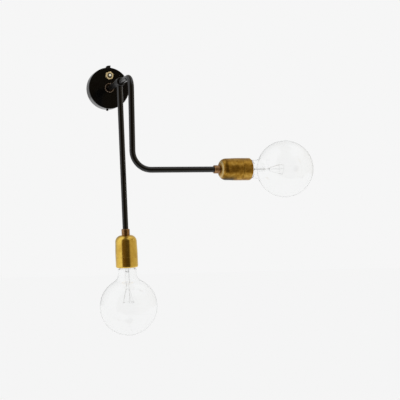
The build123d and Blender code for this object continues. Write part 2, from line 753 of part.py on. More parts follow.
# Stem tube with its retaining collar, whose lug meets the stop pin
with BuildPart() as stem_tube:
    with BuildSketch(WALL.offset(STEM_REAR)):
        Circle(TUBE_RADIUS)
        Circle(tube_bore, mode=Mode.SUBTRACT)
    extrude(amount=stem_front - STEM_REAR)
    with BuildSketch(up_plane(ARM_A, 0, stem_screw_level, groove_floor)):
        Circle(HUB_SCREW_RADIUS + HOLE_GAP)
    extrude(amount=TUBE_RADIUS, mode=Mode.SUBTRACT)
save(stem_tube.part, "stem_tube")

retainer_middle = (retainer_rear + retainer_front) / 2
with BuildPart() as retaining_collar:
    with BuildSketch(ARM_A.offset(retainer_rear)):
        Circle(RETAINER_RADIUS)
        with Locations((0, -LUG_RADIUS / 2)):
            Rectangle(LUG_WIDTH, LUG_RADIUS)
        Circle(TUBE_RADIUS + RUNNING_GAP, mode=Mode.SUBTRACT)
    extrude(amount=RETAINER_LENGTH)
    with BuildSketch(up_plane(ARM_A, 0, retainer_middle, TUBE_RADIUS)):
        Circle(HUB_SCREW_RADIUS + THREAD_GAP)
    extrude(amount=RETAINER_RADIUS, mode=Mode.SUBTRACT)
save(retaining_collar.part, "retaining_collar")

collar_screw_length = RETAINER_RADIUS - TUBE_RADIUS - HUB_SCREW_SINK - RUNNING_GAP
collar_screw_foot = up_plane(ARM_A, 0, retainer_middle, TUBE_RADIUS + RUNNING_GAP)
collar_screw = disc(collar_screw_foot, HUB_SCREW_RADIUS, collar_screw_length)
collar_screw_end = collar_screw_foot.offset(collar_screw_length)
save(slotted(collar_screw, collar_screw_end, HUB_SCREW_RADIUS), "collar_screw")

# Hub: a sleeve on the stem, with a spigot for the straight arm
with BuildPart() as arm_a_hub:
    with BuildSketch(ARM_A.offset(hub_rear)):
        Circle(HUB_RADIUS)
    extrude(amount=HUB_LENGTH)
    fillet(arm_a_hub.edges(), HUB_EDGE_RADIUS)
    with BuildSketch(down_plane(ARM_A, 0, arm_a_level, 0)):
        Circle(tube_bore - RUNNING_GAP)
    extrude(amount=HUB_RADIUS + HUB_SPIGOT_LENGTH)
    with BuildSketch(down_plane(ARM_A, 0, arm_a_level, 0)):
        Circle(HUB_SPIGOT_BORE)
    extrude(amount=HUB_RADIUS + HUB_SPIGOT_LENGTH, mode=Mode.SUBTRACT)
    with BuildSketch(ARM_A.offset(hub_rear)):
        Circle(TUBE_RADIUS + RUNNING_GAP)
    extrude(amount=HUB_LENGTH, mode=Mode.SUBTRACT)
    for level in (stem_screw_level, groove_level):
        with BuildSketch(up_plane(ARM_A, 0, level, 0)):
            Circle(HUB_SCREW_RADIUS + THREAD_GAP)
        extrude(amount=HUB_RADIUS, mode=Mode.SUBTRACT)
save(arm_a_hub.part, "arm_a_hub")

hub_screw_foot = groove_floor + TIP_GAP
hub_screw_length = HUB_RADIUS - HUB_SCREW_SINK - hub_screw_foot
hub_screws = []
for level in (stem_screw_level, groove_level):
    foot = up_plane(ARM_A, 0, level, hub_screw_foot)
    blank = disc(foot, HUB_SCREW_RADIUS, hub_screw_length)
    hub_screws.append(slotted(blank, foot.offset(hub_screw_length), HUB_SCREW_RADIUS))
save(group(hub_screws), "hub_screws")

# Straight arm: its top is cut to sit on the hub
with BuildPart() as arm_a_tube:
    with BuildSketch(down_plane(ARM_A, 0, arm_a_level, 0)):
        Circle(TUBE_RADIUS)
        Circle(tube_bore, mode=Mode.SUBTRACT)
    extrude(amount=ARM_A_LENGTH + tube_end)
    with BuildSketch(ARM_A.offset(hub_rear)):
        Circle(HUB_RADIUS + RUNNING_GAP)
    extrude(amount=HUB_LENGTH, mode=Mode.SUBTRACT)
save(arm_a_tube.part, "arm_a_tube")

# L-shaped arm: its rear end turns in the hub, and a screw runs in a groove short of a full turn
screw_half_angle = degrees(asin(HUB_SCREW_RADIUS / groove_floor))
groove_angle = 2 * (ARM_B_TURN + screw_half_angle + HUB_GROOVE_SPARE)
groove_half_width = HUB_SCREW_RADIUS + HOLE_GAP
arm_b_route = [
    (0, 0, arm_b_rear),
    (0, 0, arm_b_level),
    (0, -ARM_B_DROP, arm_b_level),
    (ARM_B_REACH + tube_end, -ARM_B_DROP, arm_b_level),
]
arm_b_bends = [ARM_B_TOP_BEND, ARM_B_LOW_BEND]
groove_start = leaning(ARM_A_LEAN + 90 - groove_angle / 2)
bent_tube = tube(ARM_B, arm_b_route, arm_b_bends, TUBE_RADIUS, tube_bore)
with BuildPart() as arm_b_tube:
    add(bent_tube)
    with BuildSketch(side_plane(groove_start)):
        with Locations((TUBE_RADIUS, groove_level)):
            Rectangle(2 * HUB_GROOVE_DEPTH, 2 * groove_half_width)
    revolve(axis=PIVOT, revolution_arc=groove_angle, mode=Mode.SUBTRACT)
save(arm_b_tube.part, "arm_b_tube")


def holder_leads(lamp):
    """Two leads from the end of the flex to the terminal screws of the core."""
    lead_end = core_top - HOLDER_TERMINAL_HEAD - TIP_GAP
    turn_end = lead_end - 2 * LEAD_BEND
    leads = []
    for side in (-1, 1):
        inner = side * LEAD_OFFSET
        outer = side * HOLDER_TERMINAL_SPREAD
        points = [
            (inner, 0, flex_end),
            (inner, 0, flex_end + 2 * LEAD_BEND),
            (outer, 0, turn_end),
            (outer, 0, lead_end),
        ]
        leads.append(tube(lamp, points, [LEAD_BEND, LEAD_BEND], LEAD_RADIUS))
    return leads


# Flexes along the stem and the arms
flex_a = tube(
    ARM_A,
    [
        (0, -FLEX_OFFSET, FLEX_SPLICE),
        (0, -FLEX_OFFSET, arm_a_level),
        (0, -ARM_A_LENGTH - flex_end, arm_a_level),
    ],
    [HUB_FLEX_BEND],
    FLEX_RADIUS,
)
save(group([flex_a, *holder_leads(LAMPS["a"])]), "arm_a_flex")

stem_flex_end = arm_b_rear - END_GAP
stem_flex = tube(
    ARM_A,
    [
        (0, FLEX_OFFSET, FLEX_SPLICE),
        (0, FLEX_OFFSET, stem_front + TUBE_WALL / 2),
        (0, 0, arm_b_rear - 2 * TUBE_WALL),
        (0, 0, stem_flex_end),
    ],
    [FLEX_BEND, FLEX_BEND],
    FLEX_RADIUS,
)
save(stem_flex, "stem_flex")

flex_b_route = [
    arm_b_route[0],
    arm_b_route[1],
    arm_b_route[2],
    (ARM_B_REACH + flex_end, -ARM_B_DROP, arm_b_level),
]
flex_b = tube(ARM_B, flex_b_route, arm_b_bends, FLEX_RADIUS)
save(group([flex_b, *holder_leads(LAMPS["b"])]), "arm_b_flex")


def dome_outline(inset):
    """Half of the holder's cap in section, drawn in from its outside by a wall."""
    top = cap_top + inset
    corner = DOME_CORNER - inset
    shoulder = DOME_RADIUS - inset
    side = HOLDER_RADIUS - inset
    flare_end = cap_top + DOME_CORNER + DOME_FLARE
    Line((0, top), (shoulder - corner, top))
    CenterArc((shoulder - corner, top + corner), corner, -90, 90)
    Spline((shoulder, top + corner), (side, flare_end), tangents=[(0, 1), (0, 1)])
    Polyline((side, flare_end), (side, seam - SEAM_WIDTH / 2), (0, seam - SEAM_WIDTH / 2), (0, top))


def make_collar(lamp):
    with BuildPart() as collar:
        with BuildSketch(lamp):
            Circle(COLLAR_RADIUS)
        extrude(amount=COLLAR_LENGTH)
        chamfer(collar.edges(), COLLAR_EDGE)
        with BuildSketch(lamp):
            Circle(TUBE_RADIUS + THREAD_GAP)
        extrude(amount=COLLAR_LENGTH, mode=Mode.SUBTRACT)
    return collar.part


def make_cap(lamp):
    with BuildPart() as cap:
        with BuildSketch(side_plane(lamp)):
            with BuildLine():
                dome_outline(0)
            make_face()
        revolve(axis=Axis(lamp.origin, lamp.z_dir))
        with BuildSketch(side_plane(lamp)):
            with BuildLine():
                dome_outline(HOLDER_WALL)
            make_face()
        revolve(axis=Axis(lamp.origin, lamp.z_dir), mode=Mode.SUBTRACT)
        with BuildSketch(lamp):
            Circle(TUBE_RADIUS + HOLE_GAP)
        extrude(amount=lock_nut_top, mode=Mode.SUBTRACT)
    return cap.part


def make_skirt(lamp):
    with BuildPart() as skirt:
        with BuildSketch(side_plane(lamp)):
            with BuildLine():
                Polyline(
                    (spigot_inner, skirt_top),
                    (spigot_outer, skirt_top),
                    (spigot_outer, seam + SEAM_WIDTH / 2),
                    (HOLDER_RADIUS, seam + SEAM_WIDTH / 2),
                    (HOLDER_RADIUS, mouth),
                    (LIP_RADIUS, mouth),
                    (LIP_RADIUS, mouth - LIP_LENGTH),
                    (skirt_inner, mouth - LIP_LENGTH),
                    (skirt_inner, seam + HOLDER_WALL + SEAM_WIDTH / 2),
                    (spigot_inner, seam + HOLDER_WALL + SEAM_WIDTH / 2),
                    close=True,
                )
            make_face()
        revolve(axis=Axis(lamp.origin, lamp.z_dir))
        lip = skirt.faces().sort_by(Axis(lamp.origin, lamp.z_dir))[-1]
        fillet(lip.edges().sort_by(SortBy.RADIUS)[-1], LIP_ROUND)
    return skirt.part


def make_core(lamp):
    with BuildPart() as core:
        with BuildSketch(side_plane(lamp)):
            with BuildLine():
                Polyline(
                    (0, core_top),
                    (CORE_BACK_RADIUS, core_top),
                    (CORE_BACK_RADIUS, core_flange_top),
                    (CORE_FLANGE_RADIUS, core_flange_top),
                    (CORE_FLANGE_RADIUS, skirt_top),
                    (CORE_RADIUS, skirt_top),
                    (CORE_RADIUS, core_front),
                    (SHELL_RADIUS + RUNNING_GAP, core_front),
                    (SHELL_RADIUS + RUNNING_GAP, core_floor),
                    (0, core_floor),
                    close=True,
                )
            make_face()
        revolve(axis=Axis(lamp.origin, lamp.z_dir))
        with BuildSketch(lamp.offset(core_top)):
            Circle(CONTACT_STEM_RADIUS + HOLE_GAP)
        extrude(amount=CORE_FLOOR, mode=Mode.SUBTRACT)
        with BuildSketch(lamp.offset(core_top)):
            with Locations((-HOLDER_TERMINAL_SPREAD, 0), (HOLDER_TERMINAL_SPREAD, 0)):
                Circle(HOLDER_TERMINAL_RADIUS + THREAD_GAP)
        extrude(amount=HOLDER_TERMINAL_LENGTH + TIP_GAP, mode=Mode.SUBTRACT)
    return core.part


def make_holder_terminals(lamp):
    places = [(-HOLDER_TERMINAL_SPREAD, 0), (HOLDER_TERMINAL_SPREAD, 0)]
    with BuildPart() as terminals:
        with BuildSketch(lamp.offset(core_top - HOLDER_TERMINAL_HEAD)):
            with Locations(*places):
                Circle(HOLDER_TERMINAL_HEAD_RADIUS)
        extrude(amount=HOLDER_TERMINAL_HEAD)
        with BuildSketch(lamp.offset(core_top)):
            with Locations(*places):
                Circle(HOLDER_TERMINAL_RADIUS)
        extrude(amount=HOLDER_TERMINAL_LENGTH)
    return terminals.part


def thread_ridge(lamp, start, root, crest, sink):
    """A thread's ridge: its section, which sinks a little into the wall, swept along the helix."""
    height = crest - root
    base = THREAD_BASE_WIDTH / 2
    tip = THREAD_CREST_WIDTH / 2
    centre = lamp.from_local_coords((0, 0, start))
    with BuildPart() as ridge:
        with BuildLine() as helix:
            Helix(THREAD_PITCH, THREAD_PITCH * THREAD_TURNS, root, center=centre, direction=lamp.z_dir)
        outward = helix.line @ 0 - centre
        with BuildSketch(Plane(origin=helix.line @ 0, x_dir=outward, z_dir=helix.line % 0)):
            with BuildLine():
                Polyline(
                    (-sink, -base),
                    (0, -base),
                    (height, -tip),
                    (height, tip),
                    (0, base),
                    (-sink, base),
                    close=True,
                )
            make_face()
        sweep(path=helix.line, is_frenet=True)
    return ridge.part


def make_shell(lamp):
    ridge = thread_ridge(lamp, shell_thread_start, shell_thread_root, shell_thread_crest, -THREAD_SINK)
    with BuildPart() as shell:
        with BuildSketch(lamp.offset(shell_start)):
            Circle(SHELL_RADIUS)
            Circle(shell_thread_root, mode=Mode.SUBTRACT)
        extrude(amount=shell_end - shell_start)
        add(ridge)
    return shell.part


def make_contact(lamp):
    outline = [
        (0, core_floor - CONTACT_STEM_LENGTH),
        (CONTACT_STEM_RADIUS, core_floor - CONTACT_STEM_LENGTH),
        (CONTACT_STEM_RADIUS, core_floor),
        (CONTACT_RADIUS, core_floor),
        (CONTACT_RADIUS, core_floor + CONTACT_HEIGHT),
        (0, core_floor + CONTACT_HEIGHT),
    ]
    return turned(lamp, outline)


def bulb_outline(inset):
    """Half of the glass in section: a globe that flows into a neck, drawn in by a wall."""
    globe = GLOBE_RADIUS - inset
    blend = NECK_BLEND + inset
    neck = NECK_RADIUS - inset
    foot = THREAD_ROOT_RADIUS - BULB_CAP_WALL - HOLE_GAP - inset
    centre = mouth + GLOBE_CENTRE
    blend_x = NECK_RADIUS + NECK_BLEND
    blend_drop = sqrt((GLOBE_RADIUS + NECK_BLEND) ** 2 - blend_x**2)
    share = globe / (GLOBE_RADIUS + NECK_BLEND)
    meet = Vector(blend_x * share, centre - blend_drop * share)
    turn = asin(blend_drop / (GLOBE_RADIUS + NECK_BLEND)) / 2
    halfway = Vector(blend_x - blend * cos(turn), centre - blend_drop + blend * sin(turn))
    neck_top = (neck, centre - blend_drop)
    foot_low = mouth - NECK_FOOT - inset
    Polyline(
        (0, centre + globe),
        (0, foot_low),
        (foot, foot_low),
        (foot, mouth),
        (neck, mouth + NECK_START),
        neck_top,
    )
    ThreePointArc(neck_top, halfway, meet)
    ThreePointArc(meet, (globe, centre), (0, centre + globe))


def make_glass(lamp):
    with BuildPart() as glass:
        with BuildSketch(side_plane(lamp)):
            with BuildLine():
                bulb_outline(0)
            make_face()
        revolve(axis=Axis(lamp.origin, lamp.z_dir))
        with BuildSketch(side_plane(lamp)):
            with BuildLine():
                bulb_outline(GLASS_WALL)
            make_face()
        revolve(axis=Axis(lamp.origin, lamp.z_dir), mode=Mode.SUBTRACT)
    return glass.part


def make_bulb_cap(lamp):
    bore = THREAD_ROOT_RADIUS - BULB_CAP_WALL
    ridge = thread_ridge(lamp, bulb_thread_start, THREAD_ROOT_RADIUS, THREAD_CREST_RADIUS, THREAD_SINK)
    with BuildPart() as cap:
        with BuildSketch(side_plane(lamp)):
            with BuildLine():
                Polyline(
                    (bore, bulb_cap_start),
                    (THREAD_ROOT_RADIUS, bulb_cap_start),
                    (THREAD_ROOT_RADIUS, bulb_cap_end - BULB_RIM_LENGTH),
                    (BULB_RIM_RADIUS, bulb_cap_end),
                    (bore, bulb_cap_end),
                    close=True,
                )
            make_face()
        revolve(axis=Axis(lamp.origin, lamp.z_dir))
        add(ridge)
    return cap.part


def make_insulator(lamp):
    outline = [
        (0, bulb_cap_start),
        (INSULATOR_RADIUS, bulb_cap_start),
        (INSULATOR_TIP_RADIUS, insulator_start),
        (0, insulator_start),
    ]
    return turned(lamp, outline)


def make_glass_stem(lamp):
    """The glass stem inside the bulb, with a passage for each lead wire."""
    foot = mouth - STEM_FOOT
    taper_end = mouth + STEM_TAPER_END
    top = mouth + STEM_TOP
    rod_top = top + STEM_ROD_LENGTH
    button_top = rod_top + STEM_BUTTON_HEIGHT
    outline = [
        (STEM_FLARE_RADIUS - STEM_WALL, foot),
        (STEM_FLARE_RADIUS, foot),
        (STEM_RADIUS, taper_end),
        (STEM_RADIUS, top),
        (STEM_ROD_RADIUS, top),
        (STEM_ROD_RADIUS, rod_top),
        (STEM_BUTTON_RADIUS, rod_top + STEM_BUTTON_BEVEL),
        (STEM_BUTTON_RADIUS, button_top - STEM_BUTTON_BEVEL),
        (STEM_ROD_RADIUS, button_top),
        (0, button_top),
        (0, taper_end + STEM_RADIUS),
        (STEM_RADIUS - STEM_WALL, taper_end),
    ]
    blank = turned(lamp, outline)
    with BuildPart() as stem:
        add(blank)
        with BuildSketch(lamp.offset(mouth)):
            with Locations((0, -LEAD_WIRE_START), (0, LEAD_WIRE_START)):
                Circle(LEAD_WIRE_RADIUS + HOLE_GAP)
        extrude(amount=STEM_TOP, mode=Mode.SUBTRACT)
    return stem.part


def make_bulb_wires(lamp):
    """Lead wires through the stem to the filament's ends, and support wires from the button."""
    rise = mouth + STEM_TOP + LEAD_WIRE_RISE
    end = mouth + FILAMENT_HEIGHT - FILAMENT_RADIUS - HOLE_GAP
    half_opening = radians(FILAMENT_OPENING / 2)
    wires = []
    for side in (-1, 1):
        inner = (0, side * LEAD_WIRE_START)
        outer = (FILAMENT_RING * cos(half_opening), side * FILAMENT_RING * sin(half_opening))
        points = [
            (*inner, mouth - STEM_FOOT),
            (*inner, rise),
            (*outer, end - LEAD_WIRE_RISE),
            (*outer, end),
        ]
        wires.append(tube(lamp, points, [LEAD_WIRE_BEND, LEAD_WIRE_BEND], LEAD_WIRE_RADIUS))
    button_middle = mouth + STEM_TOP + STEM_ROD_LENGTH + STEM_BUTTON_HEIGHT / 2
    reach = STEM_BUTTON_RADIUS + SUPPORT_WIRE_RADIUS
    for angle in SUPPORT_ANGLES:
        x_share = cos(radians(angle))
        y_share = sin(radians(angle))
        points = [
            (reach * x_share, reach * y_share, button_middle),
            (FILAMENT_RING * x_share, FILAMENT_RING * y_share, end - SUPPORT_WIRE_RADIUS),
        ]
        wires.append(tube(lamp, points, [], SUPPORT_WIRE_RADIUS))
    return group(wires)


def make_filament(lamp):
    """A fine coil, drawn as a plain wire, round an open ring between the ends of the lead wires."""
    middle = lamp.offset(mouth + FILAMENT_HEIGHT)
    with BuildPart() as filament:
        with BuildLine(middle) as ring:
            CenterArc((0, 0), FILAMENT_RING, FILAMENT_OPENING / 2, 360 - FILAMENT_OPENING)
        with BuildSketch(Plane(origin=ring.line @ 0, z_dir=ring.line % 0)):
            Circle(FILAMENT_RADIUS)
        sweep(path=ring.line)
    return filament.part


for arm, lamp in LAMPS.items():
    lock_nut_bore = TUBE_RADIUS + THREAD_GAP
    lock_nut = hex_nut(lamp.offset(lock_nut_top), LOCK_NUT_FLATS, LOCK_NUT_HEIGHT, lock_nut_bore)
    save(make_collar(lamp), f"holder_{arm}_collar")
    save(lock_nut, f"holder_{arm}_lock_nut")
    save(make_cap(lamp), f"holder_{arm}_cap")
    save(make_skirt(lamp), f"holder_{arm}_skirt")
    save(make_core(lamp), f"holder_{arm}_core")
    save(make_holder_terminals(lamp), f"holder_{arm}_terminals")
    save(make_shell(lamp), f"holder_{arm}_shell")
    save(make_contact(lamp), f"holder_{arm}_contact")
    save(make_glass(lamp), f"bulb_{arm}_glass")
    save(make_bulb_cap(lamp), f"bulb_{arm}_cap")
    save(make_insulator(lamp), f"bulb_{arm}_insulator")
    end_contact = disc(lamp.offset(end_contact_start), END_CONTACT_RADIUS, END_CONTACT_HEIGHT)
    save(end_contact, f"bulb_{arm}_contact")
    inside = spun(lamp, FILAMENT_TURNS[arm])
    save(make_glass_stem(inside), f"bulb_{arm}_stem")
    save(make_bulb_wires(inside), f"bulb_{arm}_wires")
    save(make_filament(inside), f"bulb_{arm}_filament")
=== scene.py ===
"""Looks, light and camera for the two-arm wall lamp, in metres and in the frame of its solids."""

import json
import math

import bpy
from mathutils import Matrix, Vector


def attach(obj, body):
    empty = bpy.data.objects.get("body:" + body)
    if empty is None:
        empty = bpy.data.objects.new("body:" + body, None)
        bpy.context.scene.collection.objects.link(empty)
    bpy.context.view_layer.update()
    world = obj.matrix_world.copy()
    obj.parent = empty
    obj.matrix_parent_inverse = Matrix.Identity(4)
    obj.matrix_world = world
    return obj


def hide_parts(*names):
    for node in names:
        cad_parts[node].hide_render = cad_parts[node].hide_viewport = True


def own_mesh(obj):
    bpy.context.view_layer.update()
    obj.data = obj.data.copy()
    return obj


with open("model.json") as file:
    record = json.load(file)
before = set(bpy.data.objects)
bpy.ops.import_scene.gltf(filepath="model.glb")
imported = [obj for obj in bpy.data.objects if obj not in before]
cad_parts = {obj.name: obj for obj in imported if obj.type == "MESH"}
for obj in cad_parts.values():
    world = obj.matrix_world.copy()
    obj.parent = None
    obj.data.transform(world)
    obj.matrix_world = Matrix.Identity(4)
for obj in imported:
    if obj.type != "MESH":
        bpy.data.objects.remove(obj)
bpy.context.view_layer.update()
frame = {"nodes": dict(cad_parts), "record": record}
scene = bpy.context.scene
scene.view_settings.view_transform = "Standard"

OUT_FROM_WALL = Vector((0.0, -1.0, 0.0))
DOWN = Vector((0.0, 0.0, -1.0))
CENTIMETRE = 0.01

# Where each arm's tube ends, and the way that its holder and its bulb point
LAMPS = {
    "a": (Vector((0.011123, -0.094, -0.254757)), Vector((0.043619, 0.0, -0.999048))),
    "b": (Vector((0.146991, -0.168, -0.152204)), Vector((0.999743, 0.0, 0.022687))),
}

# Along a holder from the end of its tube: its cap, its mouth, and how far the painted highlight
# and painted shade near its shoulder run
CAP_TOP = 0.0105
MOUTH = 0.0669
HIGHLIGHT_AND_SHADE_LENGTH = 0.040

# How far below the right holder's axis the painted shade on its underside begins, and is darkest
PAINTED_SHADE_START = 0.009
PAINTED_SHADE_FULL = 0.017

# The painted stem and hub: levels out from the wall, and centimetres from the arms' axis
STEM_START = 0.0205
HUB_FRONT = 0.1045
HUB_REACH = 0.95
SATIN = 3.2

# The switch: the tip of its button, where its painted highlight is centred
BUTTON_TIP = Vector((0.0, -0.0282, 0.02249))

# Inside a bulb: its filament's ring, the coil that is wound round it, and its support wires
FILAMENT_HEIGHT = 0.061
FILAMENT_RING = 0.0095
FILAMENT_OPENING = math.radians(70)
FILAMENT_TURNS = {"a": math.radians(40), "b": math.radians(270)}
COIL_RADIUS = 0.00024
COIL_WIRE = 0.00005
COIL_TURNS = 96
COIL_STEPS = 9
SUPPORT_START = 0.036
SUPPORT_ASIDE = 0.001

# Light: the background, the light on matt surfaces, and the floor's own glow
PALE = 0.9216
FILL = 0.72
FLOOR_GLOW = 0.766

# The room as reflections show it: levels by the bearing, in degrees from straight out of the wall
WALL_LEVELS = [
    (-180, 0.50), (-165, 0.50), (-135, 0.60), (-110, 1.0), (-68, 1.0),
    (-58, (0.165, 0.108, 0.032)), (-40, (0.150, 0.100, 0.034)),
    (-14, (0.088, 0.064, 0.034)), (17, (0.078, 0.057, 0.030)),
    (27, (0.58, 0.51, 0.38)), (95, (0.60, 0.55, 0.46)), (150, 0.75), (180, 0.50),
]
CEILING_LEVELS = [
    (-180, (0.40, 0.36, 0.30)), (-150, 0.60), (-125, 1.0), (-68, 1.0),
    (-50, (0.19, 0.16, 0.11)), (-8, (0.19, 0.16, 0.11)), (22, 1.0), (110, 1.0),
    (135, 0.60), (165, (0.36, 0.32, 0.26)), (180, (0.40, 0.36, 0.30)),
]
ZENITH = (0.24, 0.18, 0.10)

# Upward parts of a direction between which the walls turn to ceiling, and the ceiling to zenith
CEILING_RISE = (0.50, 0.85)
ZENITH_RISE = (0.93, 0.985)

FLOOR_REACH = 6.0
FLOOR_FRONT = -0.9
FLOOR_LEVEL = -0.80

KEY_DIRECTION = Vector((0.45, 0.55, -0.75))
KEY_STRENGTH = 1.1
KEY_SPREAD = math.radians(70)

CAMERA_PLACE = (-0.3773, -1.5374, -0.2236)
CAMERA_YAW = math.radians(20.03)
CAMERA_PITCH = math.radians(0.74)
CAMERA_LENS = 77.08
CAMERA_SENSOR = 36.0


class Nodes:
    """A tree of shader nodes that is built up one node at a time."""

    def __init__(self, tree):
        self.tree = tree

    def add(self, kind, **values):
        """Adds a node; a value sets its property, or its input where it has none of that name."""
        node = self.tree.nodes.new(kind)
        for name, value in values.items():
            if hasattr(node, name):
                setattr(node, name, value)
            else:
                self.feed(node.inputs[name.replace("_", " ")], value)
        return node

    def feed(self, socket, value):
        """Sets a socket to a value, or joins another node's output to it."""
        if isinstance(value, bpy.types.NodeSocket):
            self.tree.links.new(value, socket)
        else:
            socket.default_value = value

    def ramp(self, value, stops):
        """Colours, or greys where a stop is a number, along a value from 0 to 1."""
        node = self.add("ShaderNodeValToRGB", Fac=value)
        elements = node.color_ramp.elements
        while len(elements) < len(stops):
            elements.new(0.5)
        for element, (position, colour) in zip(elements, stops):
            element.position = position
            shade = colour if isinstance(colour, tuple) else (colour,) * 3
            element.color = (*shade, 1.0)
        return node.outputs["Color"]

    def mix(self, share, low, high):
        """One colour laid over another by a share from 0 to 1."""
        node = self.add("ShaderNodeMix", data_type="RGBA")
        for name, value in (("Factor", share), ("A", low), ("B", high)):
            socket = next(s for s in node.inputs if s.name == name and s.enabled)
            self.feed(socket, (*value, 1.0) if isinstance(value, tuple) else value)
        return next(s for s in node.outputs if s.enabled)

    def math(self, operation, first, second):
        """One value worked out from two."""
        node = self.add("ShaderNodeMath", operation=operation)
        self.feed(node.inputs[0], first)
        self.feed(node.inputs[1], second)
        return node.outputs["Value"]

    def product(self, first, *others):
        """All of some values multiplied together."""
        for value in others:
            first = self.math("MULTIPLY", first, value)
        return first

    def rise(self, value, low, high, **settings):
        """A share that rises from 0 to 1 as a value goes from low to high."""
        node = self.add(
            "ShaderNodeMapRange", **settings, Value=value, From_Min=low, From_Max=high
        )
        return node.outputs["Result"]

    def rays(self):
        """What a ray is: seen by the camera, seen through glass, or a reflection."""
        path = self.add("ShaderNodeLightPath")
        return [path.outputs[f"Is {kind} Ray"] for kind in ("Camera", "Transmission", "Glossy")]


class Look(Nodes):
    """A material that is built round one shader."""

    def __init__(self, name, **settings):
        self.material = bpy.data.materials.new(name)
        self.material.use_nodes = True
        super().__init__(self.material.node_tree)
        self.shader = self.tree.nodes["Principled BSDF"]
        for socket, value in settings.items():
            self.shader.inputs[socket.replace("_", " ")].default_value = value
        self.place = self.add("ShaderNodeTexCoord").outputs["Object"]

    def measure(self, operation, place, other=None):
        """One number out of a place on the object, or out of a place and another vector."""
        node = self.add("ShaderNodeVectorMath", operation=operation)
        self.feed(node.inputs[0], place)
        if other is not None:
            node.inputs[1].default_value = other
        return node.outputs["Value"]

    def along(self, direction):
        """How far the place on the object lies along a direction, in metres."""
        return self.measure("DOT_PRODUCT", self.place, direction)

    def from_pivot(self):
        """How far the place on the object lies from the axis of the arms, in centimetres."""
        return self.measure("LENGTH", self.stretched((1.0 / CENTIMETRE, 0.0, 1.0 / CENTIMETRE)))

    def noise(self, scale, detail=4.0, place=None):
        """A cloudy value from 0 to 1 whose features are about 1 / scale metres across."""
        node = self.add(
            "ShaderNodeTexNoise", Scale=scale, Detail=detail, Vector=place or self.place
        )
        return node.outputs["Fac"]

    def stretched(self, scales):
        """The place on the object, stretched along each axis."""
        return self.add("ShaderNodeMapping", Vector=self.place, Scale=scales).outputs["Vector"]

    def colour(self, value):
        """Gives the surface its colour."""
        self.feed(self.shader.inputs["Base Color"], value)

    def metal(self, share, low, high):
        """How far the surface is metal, between two values by a share from 0 to 1."""
        self.feed(self.shader.inputs["Metallic"], self.ramp(share, [(0.0, low), (1.0, high)]))

    def roughness(self, value, low, high):
        """Roughness that is low where a value is 0 and high where it is 1."""
        node = self.add("ShaderNodeMapRange", clamp=False, Value=value, To_Min=low, To_Max=high)
        self.feed(self.shader.inputs["Roughness"], node.outputs["Result"])

    def bump(self, value, depth, edge):
        """Fine relief of a depth in metres, over edges that are rounded off by a radius."""
        node = self.add("ShaderNodeBump", Distance=depth, Height=value)
        rounded = self.add("ShaderNodeBevel", samples=4, Radius=edge)
        self.feed(node.inputs["Normal"], rounded.outputs["Normal"])
        self.feed(self.shader.inputs["Normal"], node.outputs["Normal"])


def black_metal():
    """Gloss black paint with a slight orange peel, handled to a satin on the stem and the hub."""
    look = Look("black_metal", Specular_IOR_Level=0.5)
    deepest, deep = (0.0010, 0.0010, 0.0011), (0.0024, 0.0023, 0.0023)
    look.colour(look.ramp(look.noise(scale=55.0), [(0.3, deepest), (0.75, deep)]))
    level = look.along(OUT_FROM_WALL)
    satin = look.product(
        look.math("LESS_THAN", look.from_pivot(), HUB_REACH),
        look.math("LESS_THAN", level, HUB_FRONT),
        look.math("GREATER_THAN", level, STEM_START),
        SATIN,
    )
    look.roughness(look.math("ADD", look.noise(scale=240.0), satin), low=0.10, high=0.17)
    look.bump(look.noise(scale=700.0, detail=2.0), depth=0.000006, edge=0.0003)
    return look.material


def dark_screw():
    """Blackened steel, worn a little brighter."""
    look = Look("dark_screw", Metallic=1.0)
    wear = look.noise(scale=600.0)
    look.colour(look.ramp(wear, [(0.45, (0.012, 0.011, 0.010)), (0.8, (0.06, 0.055, 0.05))]))
    look.roughness(wear, low=0.3, high=0.45)
    look.bump(look.noise(scale=2400.0), depth=0.00003, edge=0.0003)
    return look.material


def grain_lines(look):
    """Grain that runs one way."""
    return look.noise(scale=1.0, detail=3.0, place=look.stretched((300.0, 300.0, 4000.0)))


def steel(name, low, high, roughness):
    """Bare steel with grain that runs one way."""
    look = Look(name, Metallic=1.0)
    lines = grain_lines(look)
    look.colour(look.mix(lines, low, high))
    look.roughness(look.noise(scale=180.0), low=roughness, high=roughness + 0.14)
    look.bump(lines, depth=0.00002, edge=0.0002)
    return look.material


def turned_lines(look, lamp):
    """Fine rings round a holder's axis, as a lathe leaves them."""
    axis = LAMPS[lamp][1]
    node = look.add(
        "ShaderNodeTexNoise", noise_dimensions="1D", W=look.along(axis), Scale=2600.0, Detail=3.0
    )
    return node.outputs["Fac"]


def polished_brass():
    """Polished brass with lathe rings, faint tarnish and specks."""
    look = Look("polished_brass", Metallic=1.0)
    rings = turned_lines(look, "a")
    tarnish = look.ramp(look.noise(scale=70.0, detail=6.0), [(0.42, 0.0), (0.75, 1.0)])
    base = look.mix(rings, (0.76, 0.49, 0.085), (0.84, 0.58, 0.125))
    base = look.mix(tarnish, base, (0.60, 0.36, 0.06))
    specks = look.ramp(look.noise(scale=1500.0, detail=2.0), [(0.70, 0.0), (0.78, 0.6)])
    look.colour(look.mix(specks, base, (0.22, 0.13, 0.03)))
    look.roughness(look.noise(scale=160.0), low=0.13, high=0.25)
    look.bump(rings, depth=0.000012, edge=0.0003)
    return look.material


